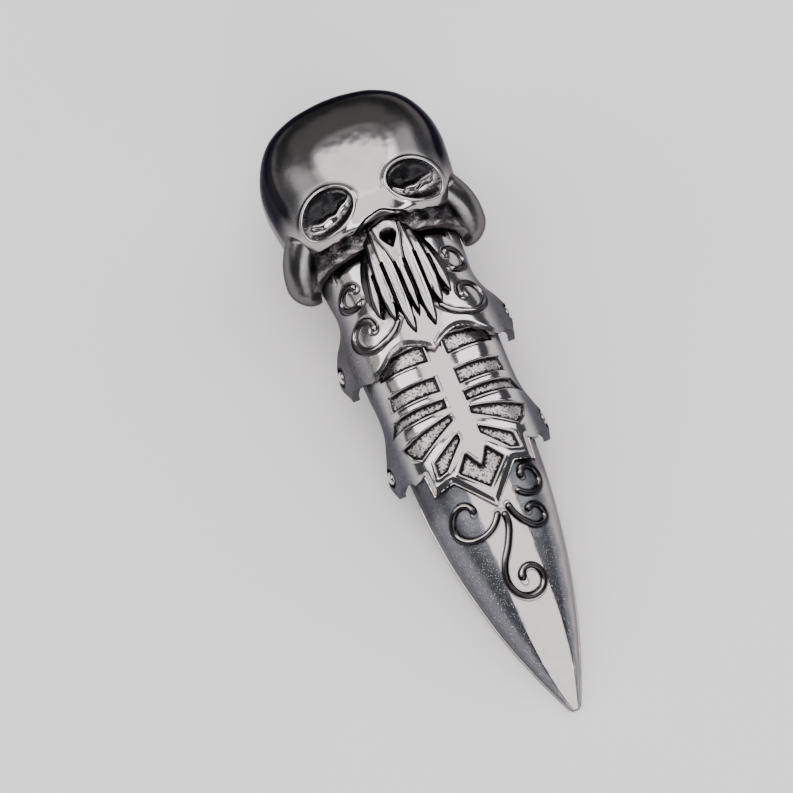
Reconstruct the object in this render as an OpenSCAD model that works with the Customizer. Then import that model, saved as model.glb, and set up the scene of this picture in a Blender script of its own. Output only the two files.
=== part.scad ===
// Articulated claw ring: a skull cap over the base of the finger, a knuckle plate with
// scrolls, a rib plate over the middle of the finger and a hollow talon over its tip.
// The plates are cast metal and overlap like the plates of a gauntlet. Each turns in the
// one above it on a pair of rivets, about an axis across the finger.
// X runs across the finger, +Y towards the hand and +Z up from the surface that the
// ring rests on. The origin is under the middle of the ring.

/* [Finger] */
// Inner radius of the base band, under the skull
base_bore_r = 10; // [9.7:0.1:10.2]
// Inner radius of the middle band, under the rib plate
mid_bore_r = 8.9; // [8.7:0.1:9]

/* [Casting] */
// Thickness of the plates
wall = 1.1; // [1:0.05:1.2]
// Thickness of the skull's shell
skull_wall = 1.3; // [1.1:0.1:1.5]
// Depth of the pockets and sunk rings
relief_depth = 0.5; // [0.3:0.05:0.55]
// Free space between two plates that slide on each other
slide_gap = 0.3; // [0.25:0.05:0.4]

/* [Hinges] */
// Height of the hinge between the skull and the scroll plate
hinge0_z = 12.5; // [12.3:0.1:12.8]
// Distance along the finger from the middle hinge to the skull's hinge
hinge0_y = 16; // [15.6:0.1:16.2]
// Height of the hinge between the scroll plate and the rib plate
hinge1_z = 10.8; // [10.6:0.1:11]
// Height of the hinge between the rib plate and the claw
hinge2_z = 7.6; // [7.4:0.1:7.8]
// Distance along the finger from the middle hinge to the claw's hinge
hinge2_y = -16.5; // [-16.7:0.1:-16.3]
// Radius of a rivet's shank
shank_r = 0.6; // [0.5:0.05:0.65]
// Radius of a rivet's domed head
head_r = 0.95; // [0.8:0.05:1]
// Radius of the sunk ring round a rivet's head
sunk_r = 1.4; // [1.2:0.1:1.5]
// Radial play of a rivet in its holes
rivet_play = 0.05; // [0.03:0.01:0.08]
// Radius of the plates' ears round their rivets
ear_r = 2.9; // [2.6:0.1:3]

/* [Skull] */
// Height of the crown of the skull
crown_z = 27.3; // [27:0.1:27.6]
// Place of the skull's centre along the finger
skull_y = 24.5; // [24.2:0.1:24.8]
// Distance of an eye's centre from the middle
eye_x = 7; // [6.8:0.1:7.2]
// Place of the eyes along the finger
eye_y = 19.1; // [18.9:0.1:19.3]
// Half length of an eye socket
eye_a = 5; // [4.8:0.1:5.2]
// Half height of an eye socket
eye_b = 3.5; // [3.3:0.1:3.7]
// Turn of an eye socket, outer end towards the teeth
eye_turn = 8; // [4:1:12]
// Radius of the raised rim round an eye socket
eye_rim_r = 0.5; // [0.4:0.05:0.6]

/* [Bands] */
// Width of the base band along the finger
base_band_w = 5.5; // [5:0.1:6]
// Width of the middle band along the finger
mid_band_w = 4; // [3.6:0.1:4.2]

/* [Claw] */
// Radius of the scroll wires on the claw
claw_wire_r = 0.42; // [0.35:0.01:0.5]
// Radius of the scroll wires on the scroll plate
plate_wire_r = 0.3; // [0.25:0.01:0.35]

/* [Hidden] */

// Columns of the plate tables: place along the finger, half width, height of the crest,
// height where the sides start to curve in, and how far the ears flare outwards
HALF_W = 1;
CREST = 2;
BASE = 3;
FLARE = 4;
scroll_rows = [
    [-6, 12.5, 22.8, 11, 0.3],
    [-3, 12.4, 22.75, 11, 0.8],
    [0, 12.3, 22.7, 11, 1.6],
    [3, 11.7, 22.6, 11, 1.3],
    [7, 10.9, 22.4, 11, 0.2],
    [11, 11.1, 22.1, 11.5, 0],
    [16, 11.3, 21.7, 12, 0],
    [20, 11, 21.1, 12, 0]
];
rib_rows = [
    [-30, 10.2, 15.5, 5, 0],
    [-24, 10.9, 16.9, 6.1, 0.2],
    [-20, 11.3, 17.85, 6.8, 0.7],
    [-16.5, 11.3, 18.6, 7.6, 1.4],
    [-13.5, 11, 19.3, 8.2, 0.8],
    [-10, 10.7, 20, 9, 0.1],
    [-4, 10.7, 20.95, 10, 0],
    [0, 10.75, 21.1, 10.8, 0],
    [4, 10, 20.4, 11, 0]
];
claw_rows = [
    [-57.7, 0.6, 1.1, 0.3, 0],
    [-55, 1.8, 2.7, 0.6, 0],
    [-50, 3.8, 6.1, 1.4, 0],
    [-44, 5.8, 9.3, 2.5, 0],
    [-38, 7.3, 11.7, 3.5, 0],
    [-32, 8.5, 13.5, 4.6, 0],
    [-26, 9.3, 15, 5.8, 0],
    [-20, 9.7, 16.3, 7, 0],
    [-16.5, 9.85, 16.9, 7.6, 0],
    [-13, 9.8, 16.2, 8, 0]
];

// Columns of the skull's outline: bearing from the skull's centre, radius in plan,
// and height of the rim
OUT_R = 1;
RIM_Z = 2;
outline_rows = [
    [-90, 9.6, 23.4],
    [-66, 10.2, 22.6],
    [-48, 12.2, 20],
    [-26, 14.1, 13.9],
    [0, 14.4, 12],
    [26, 15.8, 13.2],
    [45, 16, 16.2],
    [62, 14.8, 19.4],
    [76, 13.9, 20.8],
    [90, 13.6, 21.3]
];

// Columns of the teeth: place across the roots and the tips, place of the roots and of
// the tip along the finger, and half width
ROOT_X = 0;
TIP_X = 1;
ROOT_Y = 2;
TIP_Y = 3;
TOOTH_W = 4;
tooth_rows = [
    [0, 0, 9.5, 0.4, 0.95],
    [1.7, 1.75, 10, -1.8, 1.1],
    [3.4, 3.7, 8.5, 1.2, 0.85],
    [4.9, 5.5, 8, 2.2, 0.8]
];

// Columns of the upper jaw: place along the finger, half width, and height
jaw_rows = [
    [2.2, 5.4, 24.1],
    [4, 6.2, 24.5],
    [7, 6.3, 25.2],
    [10, 5.5, 25.7],
    [13, 4, 25.9],
    [16, 2.6, 26],
    [19, 2.2, 26]
];

arch_power = 2.3;
flare_h = 4.5;
arch_steps = 18;
skull_power = 2.4;
jaw_z = 21;
tunnel_end = 20.5;
tunnel_w = 11.35 + slide_gap;
tunnel_z = 22.8 + slide_gap;
cheek_w = tunnel_w + 1.2;
base_band_y = skull_y - 0.2;
base_band_z = base_bore_r + 1.2;
base_band_r = base_bore_r + 1.6;
mid_band_y = -4.6;
mid_band_z = mid_bore_r + 1.1;
mid_band_r = mid_bore_r + 1.4;
middle_y = 9.79;
far = 60;

function mix(a, b, t) = a + (b - a) * t;
function unit(v) = v / norm(v);

// Row before a place in a table whose first column rises
function row_before(rows, key, i = 0) =
    i >= len(rows) - 2 || key < rows[i + 1][0] ? i : row_before(rows, key, i + 1);

// Smooth curve through one column of a table
function at(rows, col, key) =
    let (
        k = min(max(key, rows[0][0]), rows[len(rows) - 1][0]),
        i = row_before(rows, k),
        a = rows[max(i - 1, 0)],
        b = rows[i],
        c = rows[i + 1],
        d = rows[min(i + 2, len(rows) - 1)],
        h = c[0] - b[0],
        t = (k - b[0]) / h,
        slope_b = (c[col] - a[col]) / (c[0] - a[0]) * h,
        slope_c = (d[col] - b[col]) / (d[0] - b[0]) * h
    )
    (2 * t ^ 3 - 3 * t ^ 2 + 1) * b[col] + (t ^ 3 - 2 * t ^ 2 + t) * slope_b
        + (3 * t ^ 2 - 2 * t ^ 3) * c[col] + (t ^ 3 - t ^ 2) * slope_c;

// Smooth curve through a few points of a path
function through(points, steps) =
    [for (k = [0:steps])
        let (
            s = min(k / steps, 0.9999) * (len(points) - 1),
            i = floor(s),
            t = s - i,
            b = points[i],
            c = points[i + 1],
            a = i > 0 ? points[i - 1] : 2 * b - c,
            d = i < len(points) - 2 ? points[i + 2] : 2 * c - b
        )
        b + t * ((c - a) / 2 + t * ((a - 2.5 * b + 2 * c - d / 2)
            + t * ((3 * b - 3 * c + d - a) / 2)))];

// Spiral that shrinks evenly by ratio from its outer end to its inner end
function spiral(centre, r_out, r_in, from, to, steps, flat = 1) =
    [for (k = [0:steps])
        let (
            t = k / steps,
            r = r_out * (r_in / r_out) ^ t,
            a = mix(from, to, t)
        )
        centre + r * [flat * cos(a), sin(a)]];

// Height of a plate's surface over a place in plan
function arch_z(rows, x, y, sink = 0) =
    let (
        w = at(rows, HALF_W, y) - sink,
        b = at(rows, BASE, y),
        c = at(rows, CREST, y) - sink
    )
    b + (c - b) * max(0.0001, 1 - abs(x / w) ^ arch_power) ^ (1 / arch_power);

// Section of a plate across the finger, from its right foot over the crest to its left
function arch_ring(w, b, c, y, foot, flare = 0) =
    concat(
        [[w + flare, y, foot]],
        [for (k = [0:arch_steps])
            let (
                a = 180 * k / arch_steps,
                s = cos(a),
                rise = (c - b) * sin(a) ^ (2 / arch_power),
                spread = flare * max(0, 1 - rise / flare_h) ^ 2
            )
            [sign(s) * (w * abs(s) ^ (2 / arch_power) + spread), y, b + rise]],
        [[-w - flare, y, foot]]
    );

// Closed solid through rings of points, each end a flat cap, or a point where one is given
module skin(rings, first = [], last = []) {
    m = len(rings[0]);
    n = len(rings);
    points = concat([for (r = rings) each r], first == [] ? [] : [first], last == [] ? [] : [last]);
    tip_a = n * m;
    tip_b = n * m + (first == [] ? 0 : 1);
    sides = [for (i = [0:n - 2]) for (k = [0:m - 1])
        let (j = (k + 1) % m)
        each [
            [i * m + k, i * m + j, (i + 1) * m + j],
            [i * m + k, (i + 1) * m + j, (i + 1) * m + k]
        ]];
    start = first == []
        ? [[for (k = [m - 1:-1:0]) k]]
        : [for (k = [0:m - 1]) [(k + 1) % m, k, tip_a]];
    end = last == []
        ? [[for (k = [0:m - 1]) (n - 1) * m + k]]
        : [for (k = [0:m - 1]) [(n - 1) * m + k, (n - 1) * m + (k + 1) % m, tip_b]];
    polyhedron(points = points, faces = concat(sides, start, end), convexity = 8);
}

// Body under a plate's surface, sunk evenly below it
module arch_body(rows, sink, from, to, steps, foot) {
    skin([for (k = [0:steps])
        let (y = mix(from, to, k / steps))
        arch_ring(
            at(rows, HALF_W, y) - sink,
            at(rows, BASE, y),
            at(rows, CREST, y) - sink,
            y,
            foot,
            sink == 0 ? at(rows, FLARE, y) : 0
        )]);
}

// Ring of a wire round one point of its path
function wire_ring(p, along, r, sides) =
    let (side = unit(cross(along, [0, 0, 1])), up = cross(side, along))
    [for (k = [0:sides - 1])
        let (a = 360 * (k + 0.5) / sides)
        p + r * (cos(a) * side + sin(a) * up)];

function along(path, i) = unit(path[min(i + 1, len(path) - 1)] - path[max(i - 1, 0)]);

// Wire along a path, drawn to a fine point at its last end
module wire(path, r, sides = 5) {
    n = len(path) - 1;
    skin([for (i = [0:n])
        wire_ring(path[i], along(path, i), i == n ? 0.5 * r : i == n - 1 ? 0.9 * r : r, sides)]);
}

// Wire that closes on itself
module wire_loop(path, r, sides = 5) {
    n = len(path);
    rings = [for (i = [0:n - 1])
        wire_ring(path[i], unit(path[(i + 1) % n] - path[(i + n - 1) % n]), r, sides)];
    polyhedron(
        points = [for (ring = rings) each ring],
        faces = [for (i = [0:n - 1]) for (k = [0:sides - 1])
            let (j = (k + 1) % sides, i2 = (i + 1) % n)
            each [
                [i * sides + k, i * sides + j, i2 * sides + j],
                [i * sides + k, i2 * sides + j, i2 * sides + k]
            ]],
        convexity = 8
    );
}

// Path in plan laid on a plate's surface
function laid_on(rows, path, lift) =
    [for (p = path) [p[0], p[1], arch_z(rows, p[0], p[1]) + lift]];

// Outline seen from the side, in Y and Z, cut through the whole width
module side_cut() {
    rotate([90, 0, 90]) linear_extrude(height = far, center = true) children();
}

// Outline seen from above, cut through the whole height
module plan_cut() {
    translate([0, 0, -1]) linear_extrude(height = far) children();
}

module both_sides() {
    children();
    mirror([1, 0, 0]) children();
}

// Round bar across the finger from one distance from the middle to another
module cross_bar(y, z, r, from, to) {
    translate([from, y, z]) rotate([0, 90, 0]) cylinder(r = r, h = to - from, $fn = 48);
}

// One mesh of everything cast in one pour
module cast() {
    resize([0, 0, 0]) children();
}

// Place of the skull's surface on a bearing, from the crown at 0 to the rim at 90
function skull_point(bearing, drop, sink) =
    let (
        key = abs(((bearing + 270) % 360) - 180) - 90,
        r = (at(outline_rows, OUT_R, key) - sink) * sin(drop) ^ (2 / skull_power),
        rim = at(outline_rows, RIM_Z, key),
        z = rim + (crown_z - sink - rim) * cos(drop) ^ (2 / skull_power)
    )
    [r * cos(bearing), skull_y + r * sin(bearing), z];

// Height of the skull's surface over a place in plan
function skull_z(x, y) =
    let (
        key = atan2(y - skull_y, abs(x)),
        u = min(norm([x, y - skull_y]) / at(outline_rows, OUT_R, key), 0.999),
        rim = at(outline_rows, RIM_Z, key)
    )
    rim + (crown_z - rim) * (1 - u ^ skull_power) ^ (1 / skull_power);

module skull_dome(sink, bearings, rings) {
    skin(
        [for (i = [1:rings]) [for (k = [0:bearings - 1])
            skull_point(360 * k / bearings, 90 * i / rings, sink)]],
        [0, skull_y, crown_z - sink],
        [0, skull_y, 12]
    );
}

// Space inside the skull, open below, with metal left behind the eye sockets
module skull_hollow() {
    difference() {
        union() {
            skull_dome(skull_wall, 30, 6);
            skin([for (z = [-1, 1]) [for (k = [29:-1:0])
                let (p = skull_point(12 * k, 90, skull_wall))
                [p[0], p[1], z < 0 ? -1 : p[2] + 0.01]]]);
        }
        both_sides() eye_place() scale([eye_a + 1, eye_b + 1, 3.2]) sphere(r = 1, $fn = 14);
    }
}

module eye_place() {
    translate([eye_x, eye_y, skull_z(eye_x, eye_y) + 0.5])
        rotate([0, 28, 0])
            rotate([0, 0, -eye_turn])
                children();
}

module eye_rim() {
    path = [for (k = [0:23])
        let (
            a = 15 * k,
            u = (eye_a + 0.35) * cos(a) * 0.95,
            v = (eye_b + 0.35) * sin(a),
            x = eye_x + u * cos(eye_turn) + v * sin(eye_turn),
            y = eye_y + v * cos(eye_turn) - u * sin(eye_turn)
        )
        [x, y, skull_z(x, y)]];
    wire_loop(path, eye_rim_r);
}

// Upper jaw, flat below, where the space for the scroll plate trims it
module jaw() {
    steps = 12;
    skin([for (i = [0:8])
        let (
            y = mix(jaw_rows[0][0], 19, i / 8),
            w = at(jaw_rows, 1, y),
            top = at(jaw_rows, 2, y)
        )
        [for (k = [0:steps])
            let (a = 180 * k / steps, s = cos(a))
            [w * sign(s) * abs(s) ^ 0.8, y, jaw_z + (top - jaw_z) * sin(a) ^ 0.8]]]);
}

// One long tooth, its root in the jaw and its tip free
module tooth(row) {
    steps = 6;
    skin([for (i = [0:steps])
        let (
            t = i / steps,
            y = mix(row[TIP_Y], row[ROOT_Y], t),
            x = mix(row[TIP_X], row[ROOT_X], t),
            w = row[TOOTH_W] * min(1, 0.25 + 2.4 * t) * (1 - 0.5 * t ^ 3),
            z = at(jaw_rows, 2, max(y, 2.2)) - 0.45 - 0.35 * max(0, 2.2 - y) / 2
                - 0.05 * x ^ 2 - 0.5 * t ^ 4
        )
        [for (k = [0:7])
            let (a = 45 * k)
            [x + w * cos(a), y, z + min(0.85, w) * sin(a)]]]);
}

// Cheekbone: a long round lobe that hangs outwards and down beside the teeth
module flare() {
    start = [10.8, 18.3, 19.3];
    end = [13.1, 13, 10.4];
    steps = 8;
    skin([for (i = [0:steps])
        let (
            t = i / steps,
            p = mix(end, start, t) + [1.5 * sin(180 * t), 0, 0.6 * sin(180 * t)],
            r = 2.9 * sin(180 * min(0.5, 0.06 + 1.1 * t)) * (1 - 0.25 * t)
        )
        wire_ring(p, unit(start - end), r, 12)]);
}

// Strip over the scroll plate's rear that carries the skull's hinge on both sides
module cheek_strip() {
    intersection() {
        skin([for (y = [12.7, 21]) arch_ring(cheek_w, 11.5, tunnel_z + 0.9, y, 0)]);
        union() {
            side_cut() translate([hinge0_y, hinge0_z]) circle(r = ear_r + 0.2, $fn = 40);
            plan_cut() difference() {
                translate([-far / 2, 12.8]) square([far, 9]);
                both_sides_2d() translate([6.4, 8.5]) circle(r = 5.6, $fn = 32);
            }
        }
        translate([-far / 2, 0, hinge0_z - ear_r - 0.2]) cube([far, far, far]);
    }
}

module nose_hole() {
    both_sides() translate([0.75, 12.3, 26.6]) rotate([0, 0, 20])
        scale([0.85, 1.7, 1.6]) sphere(r = 1, $fn = 14);
}

module skull() color("silver") translate([0, middle_y, 0]) {
    difference() {
        cast() union() {
            difference() {
                union() {
                    skull_dome(0, 44, 9);
                    cheek_strip();
                    both_sides() flare();
                    jaw();
                    for (row = tooth_rows) {
                        if (row[ROOT_X] == 0) tooth(row);
                        else both_sides() tooth(row);
                    }
                    both_sides() eye_rim();
                }
                skull_hollow();
                skin([for (y = [-9, tunnel_end]) arch_ring(tunnel_w, 11.5, tunnel_z, y, -1)]);
                both_sides() eye_place() scale([eye_a, eye_b, 2.6]) sphere(r = 1, $fn = 20);
                nose_hole();
                finger_way();
            }
            base_band();
        }
        translate([0, base_band_y + base_band_w / 2 + 0.5, base_band_z])
            rotate([90, 0, 0])
                cylinder(r = base_bore_r, h = base_band_w + 1, $fn = 96);
        both_sides() cross_bar(
            hinge0_y, hinge0_z, shank_r + rivet_play, tunnel_w - 0.5, cheek_w + 0.5);
    }
}

// Way in for the finger, under the skull's rear rim
module finger_way() {
    translate([0, far, base_band_z]) rotate([90, 0, 0])
        cylinder(r = base_bore_r + 0.1, h = far - base_band_y, $fn = 96);
}

// Base band with a sizing flat below, and a web that joins it to the skull
module base_band() {
    intersection() {
        union() {
            band_disc(base_band_y, base_band_z, base_band_r, base_band_w);
            intersection() {
                skull_dome(0.4, 30, 6);
                translate([-far / 2, base_band_y - 1, 14]) cube([far, 2, far]);
            }
        }
        translate([-far / 2, -far / 2, 0]) cube([far, 2 * far, far]);
    }
}

module band_disc(y, z, r, w) {
    translate([0, y + w / 2, z]) rotate([90, 0, 0]) cylinder(r = r, h = w, $fn = 48);
}

// Edge of the scroll plate towards the claw, right half, from the cusp outwards
scroll_edge = [[0, -5.4], [2, -4], [4.2, -3.2], [6.2, -3.6], [8.4, -5], [10.6, -5.3], [14, -4.4]];
lower_scroll = concat(
    through([[3.1, 1], [4.2, -0.3], [5.8, -1.2]], 3),
    spiral([8, 1.7], 3.3, 0.8, -105, 290, 18, 0.85)
);
upper_scroll = spiral([8.2, 8.2], 2.6, 0.6, -115, 215, 14, 0.85);

module scroll_outline() {
    edge = through(scroll_edge, 24);
    intersection() {
        plan_cut() polygon(concat(
            edge,
            [[14.5, scroll_edge[6][1]], [14.5, 20], [-14.5, 20], [-14.5, scroll_edge[6][1]]],
            [for (i = [24:-1:0]) [-edge[i][0], edge[i][1]]]
        ));
        side_cut() {
            translate([hinge0_y, hinge0_z]) circle(r = ear_r, $fn = 40);
            difference() {
                polygon([
                    [17.6, 10.2], [3, 7.6], [-1, 7.7], [-3.6, 9],
                    [-3.3, 12.5], [-4.6, 17], [-6.5, 20], [-6.5, 30],
                    [19, 30], [18.9, hinge0_z]
                ]);
                translate([8.6, 5.6]) circle(r = 7, $fn = 56);
            }
        }
    }
}

// Region behind the two lobes, where the plate is stepped down and runs under the skull
module behind_lobes() {
    plan_cut() difference() {
        translate([-9.4, 6]) square([18.8, 14]);
        translate([-9.4, 6]) square([18.8, 2.5]);
        both_sides_2d() translate([6.4, 8.5]) circle(r = 3.9, $fn = 40);
    }
}

module both_sides_2d() {
    children();
    mirror([1, 0]) children();
}

// Sunk ring round a rivet's head, in a wall whose outer face is at x
module sunk_ring(y, z, x) {
    both_sides() cross_bar(y, z, sunk_r, x - 0.35, x + 2);
}

module scroll_plate() color("silver") translate([0, middle_y, 0]) {
    difference() {
        cast() difference() {
            union() {
                difference() {
                    intersection() {
                        difference() {
                            arch_body(scroll_rows, 0, -6.5, 20, 13, -1);
                            arch_body(scroll_rows, wall, -7, 20.5, 9, -2);
                        }
                        scroll_outline();
                    }
                    difference() {
                        behind_lobes();
                        arch_body(scroll_rows, relief_depth, 5, 20.5, 6, -2);
                    }
                }
                both_sides() {
                    wire(laid_on(scroll_rows, lower_scroll, 0), plate_wire_r, 4);
                    wire(laid_on(scroll_rows, upper_scroll, 0), plate_wire_r, 4);
                }
            }
        }
        sunk_ring(0, hinge1_z, 12.3);
        both_sides() cross_bar(hinge0_y, hinge0_z, shank_r + rivet_play, 9, 13);
        both_sides() cross_bar(0, hinge1_z, shank_r + rivet_play, 9, 14);
    }
}

// Pockets between the ribs, right half, and the notched diamond below them
rib_pockets = [
    [[1.5, -3.4], [1.5, -6.2], [8.7, -5.3], [8.7, -3]],
    [[1.5, -8.6], [1.5, -10.9], [8.9, -10.1], [8.6, -7.9]],
    [[1.5, -12.1], [1.5, -13.5], [10.2, -13], [9.1, -11.3]],
    [[1.6, -14.4], [1.4, -15.4], [7.6, -18.4], [8.7, -17.5], [9.6, -15.5]],
    [[1.65, -17.3], [1.5, -18.4], [4.9, -21.7], [6.4, -21.9], [6.2, -19.7]]
];
diamond = [[0, -22.9], [1.6, -20.4], [3.6, -22.7], [0, -26.2], [-3.6, -22.7], [-1.6, -20.4]];
rib_front = [
    [0, -28.9], [4.8, -23.5], [7.9, -23.8], [8.2, -20.6], [14, -20.6], [14, 4],
    [-14, 4], [-14, -20.6], [-8.2, -20.6], [-7.9, -23.8], [-4.8, -23.5]
];

module rib_outline() {
    intersection() {
        plan_cut() polygon(rib_front);
        side_cut() {
            translate([0, hinge1_z]) circle(r = ear_r, $fn = 40);
            difference() {
                polygon([
                    [2.9, 30], [2.9, hinge1_z], [0, 8], [-16.5, 4.6], [-19.4, 5.8],
                    [-19, 9], [-20, 12.5], [-31, 12.5], [-31, 30]
                ]);
                translate([-8.6, 2]) circle(r = 7.2, $fn = 56);
            }
        }
    }
}

module rib_plate() color("silver") translate([0, middle_y, 0]) {
    difference() {
        cast() {
            difference() {
                intersection() {
                    difference() {
                        arch_body(rib_rows, 0, -30, 4, 17, -1);
                        arch_body(rib_rows, wall, -30.5, 4.5, 10, -2);
                    }
                    rib_outline();
                }
                difference() {
                    plan_cut() {
                        for (pocket = rib_pockets) both_sides_2d() polygon(pocket);
                        polygon(diamond);
                    }
                    arch_body(rib_rows, relief_depth, -30.5, 4.5, 10, -2);
                }
            }
            intersection() {
                band_disc(mid_band_y, mid_band_z, mid_band_r, mid_band_w);
                translate([-far / 2, -far / 2, 0]) cube([far, 2 * far, far]);
            }
        }
        translate([0, mid_band_y + mid_band_w / 2 + 0.5, mid_band_z])
            rotate([90, 0, 0])
                cylinder(r = mid_bore_r, h = mid_band_w + 1, $fn = 96);
        sunk_ring(hinge2_y, hinge2_z, 11.25);
        both_sides() cross_bar(0, hinge1_z, shank_r + rivet_play, 9, 13);
        both_sides() cross_bar(hinge2_y, hinge2_z, shank_r + rivet_play, 9, 14);
    }
}

left_scroll = spiral([-4.7, -28.3], 4.8, 1.1, -12, -370, 18, 0.95);
small_scroll = concat(
    through([[1.4, -28.7], [1.8, -30.2], [2.6, -31.6]], 4),
    spiral([4.8, -31], 2, 0.9, -130, 170, 10, 0.95)
);
side_scroll = spiral([5.8, -25.6], 3.2, 0.9, -150, 200, 13, 0.85);
long_scroll = concat(
    through([[0.5, -29.6], [0.4, -31.8], [-0.9, -34.2], [-2.6, -37]], 6),
    spiral([0.6, -39.3], 3.6, 1, 165, 560, 18, 0.95)
);

module claw_outline() {
    side_cut() {
        translate([hinge2_y, hinge2_z]) circle(r = ear_r, $fn = 40);
        polygon([
            [-13.6, 30], [-13.6, hinge2_z], [-17, 4.7], [-24, 3.3], [-34, 2],
            [-46, 0.9], [-58.5, 0], [-58.5, 30]
        ]);
    }
}

module claw() color("silver") translate([0, middle_y, 0]) {
    difference() {
        cast() difference() {
            union() {
                intersection() {
                    arch_body(claw_rows, 0, -57.7, -13, 20, -1);
                    claw_outline();
                }
                wire(laid_on(claw_rows, left_scroll, 0.1), claw_wire_r);
                wire(laid_on(claw_rows, small_scroll, 0.1), claw_wire_r);
                wire(laid_on(claw_rows, side_scroll, 0.1), claw_wire_r);
                wire(laid_on(claw_rows, long_scroll, 0.1), claw_wire_r);
            }
            arch_body(claw_rows, wall, -51, -12, 10, -2);
        }
        both_sides() cross_bar(hinge2_y, hinge2_z, shank_r + rivet_play, 8, 12);
    }
}

// Rivet through two walls: a flat foot inside and, where out is past the shank, a domed
// head. It runs along X from the foot's inner face.
module rivet(foot_x, shank_end, dome) {
    foot_r = 0.85;
    foot_h = 0.3;
    dome_h = 0.55;
    arc = [for (k = [0:6]) let (a = 15 * k) [head_r * cos(a), shank_end + dome_h * sin(a)]];
    head = dome ? concat([[shank_r, shank_end]], arc) : [[shank_r, shank_end], [0, shank_end]];
    color("silver") translate([0, middle_y, 0]) rotate([0, 90, 0]) rotate_extrude($fn = 48)
        polygon(concat(
            [[0, foot_x], [foot_r, foot_x], [foot_r, foot_x + foot_h], [shank_r, foot_x + foot_h]],
            head
        ));
}

module skull_pin() {
    translate([0, hinge0_y, hinge0_z]) rivet(9.7, cheek_w + 0.3, false);
}

module scroll_rivet() {
    translate([0, 0, hinge1_z]) rivet(9.15, 12, true);
}

module rib_rivet() {
    translate([0, hinge2_y, hinge2_z]) rivet(8.3, 11, true);
}

module skull_pin_right() skull_pin();
module skull_pin_left() mirror([1, 0, 0]) skull_pin();
module scroll_rivet_right() scroll_rivet();
module scroll_rivet_left() mirror([1, 0, 0]) scroll_rivet();
module rib_rivet_right() rib_rivet();
module rib_rivet_left() mirror([1, 0, 0]) rib_rivet();

skull();
scroll_plate();
rib_plate();
claw();
skull_pin_left();
skull_pin_right();
scroll_rivet_left();
scroll_rivet_right();
rib_rivet_left();
rib_rivet_right();
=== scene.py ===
# Finger armour ring: a skull cap, two hinged plates and a talon, cast in silver.
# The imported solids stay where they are, and each finished piece stands for its solid.
import math
import bpy
import numpy as np
from mathutils import Matrix, Vector


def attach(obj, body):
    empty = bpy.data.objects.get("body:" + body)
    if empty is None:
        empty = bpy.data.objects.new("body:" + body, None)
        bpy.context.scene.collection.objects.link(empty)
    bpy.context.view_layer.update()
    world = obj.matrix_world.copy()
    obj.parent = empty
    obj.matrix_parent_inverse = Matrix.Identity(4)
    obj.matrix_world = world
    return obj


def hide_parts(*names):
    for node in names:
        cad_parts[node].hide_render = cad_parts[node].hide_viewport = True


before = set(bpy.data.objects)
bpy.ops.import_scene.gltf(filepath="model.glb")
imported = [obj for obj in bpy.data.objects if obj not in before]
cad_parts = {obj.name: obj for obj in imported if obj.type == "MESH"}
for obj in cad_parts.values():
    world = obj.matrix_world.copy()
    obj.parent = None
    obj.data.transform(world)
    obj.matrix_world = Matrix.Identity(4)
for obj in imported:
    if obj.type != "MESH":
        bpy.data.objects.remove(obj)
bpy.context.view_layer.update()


# Table top, light and camera. The ring lies on a plain pale table. Two softboxes hang over
# it, one stands on each side and one beyond the fingertip, and two dim ones glow like
# walls, so that the polished metal shows pale and dark zones with clear borders.
class Tone:
    """Value on its way through a material. Sums on it add their Math nodes."""

    def __init__(self, recipe, socket):
        self.recipe = recipe
        self.socket = socket

    def sum_of(self, operation, first, second):
        """Math node on two values, each a tone or a plain number."""
        settings = {"operation": operation}
        return self.recipe.node("ShaderNodeMath", settings, {0: first, 1: second})

    def __add__(self, other):
        return self.sum_of("ADD", self, other)

    def __radd__(self, other):
        return self.sum_of("ADD", other, self)

    def __sub__(self, other):
        return self.sum_of("SUBTRACT", self, other)

    def __rsub__(self, other):
        return self.sum_of("SUBTRACT", other, self)

    def __mul__(self, other):
        return self.sum_of("MULTIPLY", self, other)

    def __rmul__(self, other):
        return self.sum_of("MULTIPLY", other, self)

    def at_most(self, other):
        return self.sum_of("MINIMUM", self, other)

    def at_least(self, other):
        return self.sum_of("MAXIMUM", self, other)


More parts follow.
